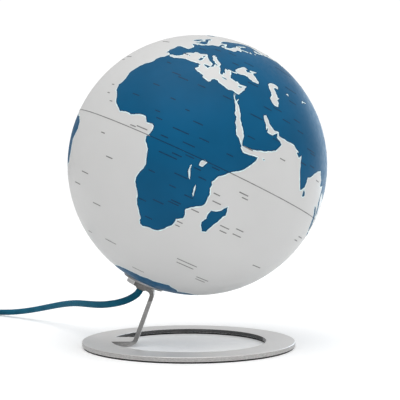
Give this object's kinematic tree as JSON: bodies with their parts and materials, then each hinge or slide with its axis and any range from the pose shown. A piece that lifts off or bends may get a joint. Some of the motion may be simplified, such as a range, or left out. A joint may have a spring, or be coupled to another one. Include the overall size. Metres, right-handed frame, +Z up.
{
  "type": "desktop globe",
  "caption": "Lit desktop globe: a ball with a two-tone map turns on a leaning axis, on a flat ring bent from one metal plate, with a textile lead.",
  "frame": {"origin": "on the table straight under the ball's centre", "axes": "+Z up, +X the way the ball's north pole leans, +Y away from the side shown"},
  "size_m": [0.4692, 0.3812, 0.299],
  "materials": {
    "shell_plastic": "satin, printed map, translucent",
    "band_plastic": "natural moulded",
    "collar_metal": "fine satin",
    "stand_metal": "fine blasted and anodised, satin",
    "foot_rubber": "matt",
    "nylon": "matt",
    "steel": "zinc plated",
    "bush_plastic": "moulded grey",
    "lead_textile": "braided textile over two cores",
    "holder_plastic": "black moulded",
    "ceramic": "unglazed",
    "brass": "plain",
    "nickel": "nickel plated",
    "wire_brown": "smooth",
    "wire_blue": "smooth",
    "bulb_plastic": "satin",
    "board": "white solder mask",
    "chips": "phosphor",
    "bulb_frost": "frosted, translucent",
    "tie_plastic": "satin black",
    "white_plastic": "fine textured",
    "rocker_plastic": "polished"
  },
  "bodies": {
    "stand": {"stand_plate": "stand_metal", "foot_ring": "foot_rubber", "bearing_washer": "nylon", "threaded_tube": "steel", "stop_washer": "steel", "stop_nut": "steel", "cable_bush": "bush_plastic", "inner_lead": "lead_textile", "holder_cap": "holder_plastic", "holder_sleeve": "holder_plastic", "holder_core": "ceramic", "screw_contact": "brass", "centre_contact": "brass", "terminal_screws": "brass", "live_wire": "wire_brown", "neutral_wire": "wire_blue", "bulb_cap": "nickel", "bulb_insulator": "holder_plastic", "bulb_tip": "brass", "bulb_housing": "bulb_plastic", "bulb_board": "board", "light_chips": "chips", "bulb_globe": "bulb_frost", "lead_coil": "lead_textile", "coil_tie": "tie_plastic", "lead_run": "lead_textile", "lead_to_switch": "lead_textile", "lead_to_plug": "lead_textile", "switch_base": "white_plastic", "switch_cover": "white_plastic", "switch_pin": "steel", "switch_screws": "steel", "switch_contacts": "brass", "lead_grips": "nylon", "plug_body": "white_plastic", "plug_prongs": "nickel", "prong_sleeves": "tie_plastic"},
    "ball": {"north_shell": "shell_plastic", "south_shell": "shell_plastic", "joining_band": "band_plastic", "pole_collar": "collar_metal", "clamp_ring": "band_plastic", "collar_screws": "steel"},
    "rocker": {"switch_rocker": "rocker_plastic"}
  },
  "joints": [
    {"name": "ball_spin", "type": "hinge", "parent": "stand", "child": "ball", "pos_m": [0, 0, 0.174], "axis": [0.4226, 0, 0.9063], "continuous": true},
    {"name": "rocker_tip", "type": "hinge", "parent": "stand", "child": "rocker", "pos_m": [-0.3, 0.083, 0.0132], "axis": [0.8944, 0.4472, 0], "range_deg": [0, 14]}
  ]
}
